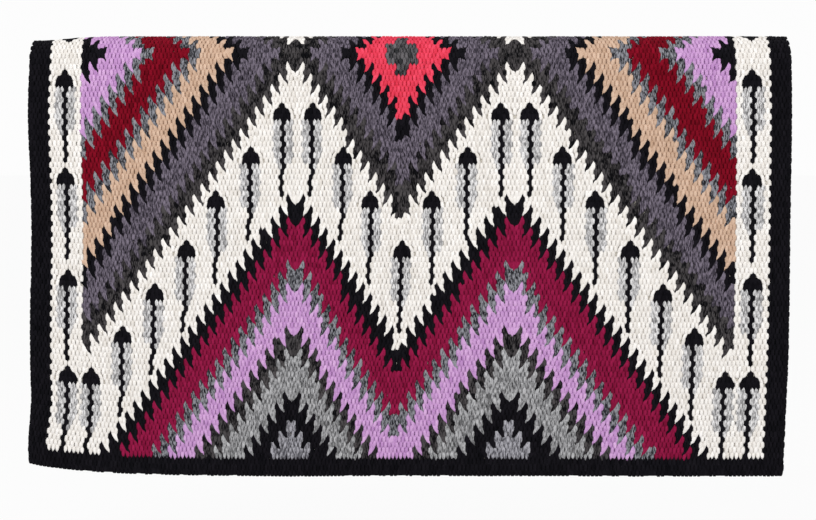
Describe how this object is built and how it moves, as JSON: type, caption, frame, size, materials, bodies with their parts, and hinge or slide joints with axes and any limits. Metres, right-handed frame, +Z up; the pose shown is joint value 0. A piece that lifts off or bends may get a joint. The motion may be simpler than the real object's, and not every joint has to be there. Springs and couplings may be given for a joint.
{
  "type": "saddle blanket",
  "caption": "Hand-woven wool tapestry saddle blanket, hung folded over a rail, with chevron bands, feather figures and a black border; it unfolds flat.",
  "frame": {"origin": "middle of the top facet inside the fold, where the blanket sits on a rail or a horse's back", "axes": "+X along the rail and the warps, -Y towards the drop that the picture shows, +Z up"},
  "size_m": [0.864, 0.066, 0.5029],
  "materials": {
    "black_wool": "weft-faced wool, matt",
    "cream_wool": "weft-faced wool, matt",
    "crimson_wool": "weft-faced wool, matt",
    "dark_red_wool": "weft-faced wool, matt",
    "coral_wool": "weft-faced wool, matt",
    "tan_wool": "weft-faced wool, matt",
    "lilac_wool": "weft-faced wool, matt",
    "slate_wool": "weft-faced wool, matt",
    "charcoal_wool": "heathered wool, matt",
    "grey_heather_wool": "heathered wool, matt",
    "light_grey_wool": "heathered wool, matt",
    "hem_slate_wool": "heathered wool, matt",
    "warp_wool": "hard-spun undyed wool"
  },
  "bodies": {
    "crown": {"crown_fold_strip": "charcoal_wool"},
    "front_upper_fold": {"front_upper_fold_strip": "charcoal_wool"},
    "front_lower_fold": {"front_lower_fold_strip": "charcoal_wool"},
    "front_drop": {"front_warps": "warp_wool", "front_inner_floats": "charcoal_wool", "front_left_border": "black_wool", "front_right_border": "black_wool", "front_hem_border": "black_wool", "front_left_stripe": "cream_wool", "front_right_stripe": "cream_wool", "front_coral_diamond": "coral_wool", "front_left_lilac_wedge": "lilac_wool", "front_left_upper_grey_line": "grey_heather_wool", "front_left_red_wedge": "dark_red_wool", "front_left_lower_grey_line": "grey_heather_wool", "front_left_tan_wedge": "tan_wool", "front_right_lilac_wedge": "lilac_wool", "front_right_upper_grey_line": "grey_heather_wool", "front_right_red_wedge": "dark_red_wool", "front_right_lower_grey_line": "grey_heather_wool", "front_right_tan_wedge": "tan_wool", "front_left_black_line": "black_wool", "front_left_slate_band": "slate_wool", "front_left_charcoal_band": "charcoal_wool", "front_middle_black_line": "black_wool", "front_middle_slate_band": "slate_wool", "front_middle_charcoal_band": "charcoal_wool", "front_right_black_line": "black_wool", "front_right_slate_band": "slate_wool", "front_right_charcoal_band": "charcoal_wool", "front_cream_chevron": "cream_wool", "front_black_chevron": "black_wool", "front_crimson_chevron": "crimson_wool", "front_grey_chevron": "grey_heather_wool", "front_lilac_chevron": "lilac_wool", "front_left_charcoal_peak": "charcoal_wool", "front_left_light_grey_peak": "light_grey_wool", "front_left_black_peak": "black_wool", "front_left_slate_triangle": "hem_slate_wool", "front_right_charcoal_peak": "charcoal_wool", "front_right_light_grey_peak": "light_grey_wool", "front_right_black_peak": "black_wool", "front_right_slate_triangle": "hem_slate_wool"},
    "back_upper_fold": {"back_upper_fold_strip": "charcoal_wool"},
    "back_lower_fold": {"back_lower_fold_strip": "charcoal_wool"},
    "back_drop": {"back_warps": "warp_wool", "back_inner_floats": "charcoal_wool", "back_border": "black_wool", "back_left_stripe": "cream_wool", "back_right_stripe": "cream_wool", "back_left_wedges": "dark_red_wool", "back_right_wedges": "dark_red_wool", "back_left_slate_bands": "slate_wool", "back_middle_slate_bands": "slate_wool", "back_right_slate_bands": "slate_wool", "back_cream_chevron": "cream_wool", "back_crimson_chevrons": "crimson_wool", "back_left_hem_peak": "hem_slate_wool", "back_right_hem_peak": "hem_slate_wool"}
  },
  "joints": [
    {"name": "front_unfold", "type": "hinge", "parent": "crown", "child": "front_upper_fold", "pos_m": [0, -0.00925, 0.00154], "axis": [-1, 0, 0], "range_deg": [0, 36]},
    {"name": "front_lower_unfold", "type": "hinge", "parent": "front_upper_fold", "child": "front_lower_fold", "pos_m": [0, -0.02421, -0.00933], "axis": [-1, 0, 0], "range_deg": [0, 36]},
    {"name": "front_drop_unfold", "type": "hinge", "parent": "front_lower_fold", "child": "front_drop", "pos_m": [0, -0.02992, -0.02692], "axis": [-1, 0, 0], "range_deg": [0, 18]},
    {"name": "back_unfold", "type": "hinge", "parent": "crown", "child": "back_upper_fold", "pos_m": [0, 0.00925, 0.00154], "axis": [1, 0, 0], "range_deg": [0, 36]},
    {"name": "back_lower_unfold", "type": "hinge", "parent": "back_upper_fold", "child": "back_lower_fold", "pos_m": [0, 0.02421, -0.00933], "axis": [1, 0, 0], "range_deg": [0, 36]},
    {"name": "back_drop_unfold", "type": "hinge", "parent": "back_lower_fold", "child": "back_drop", "pos_m": [0, 0.02992, -0.02692], "axis": [1, 0, 0], "range_deg": [0, 18]}
  ]
}
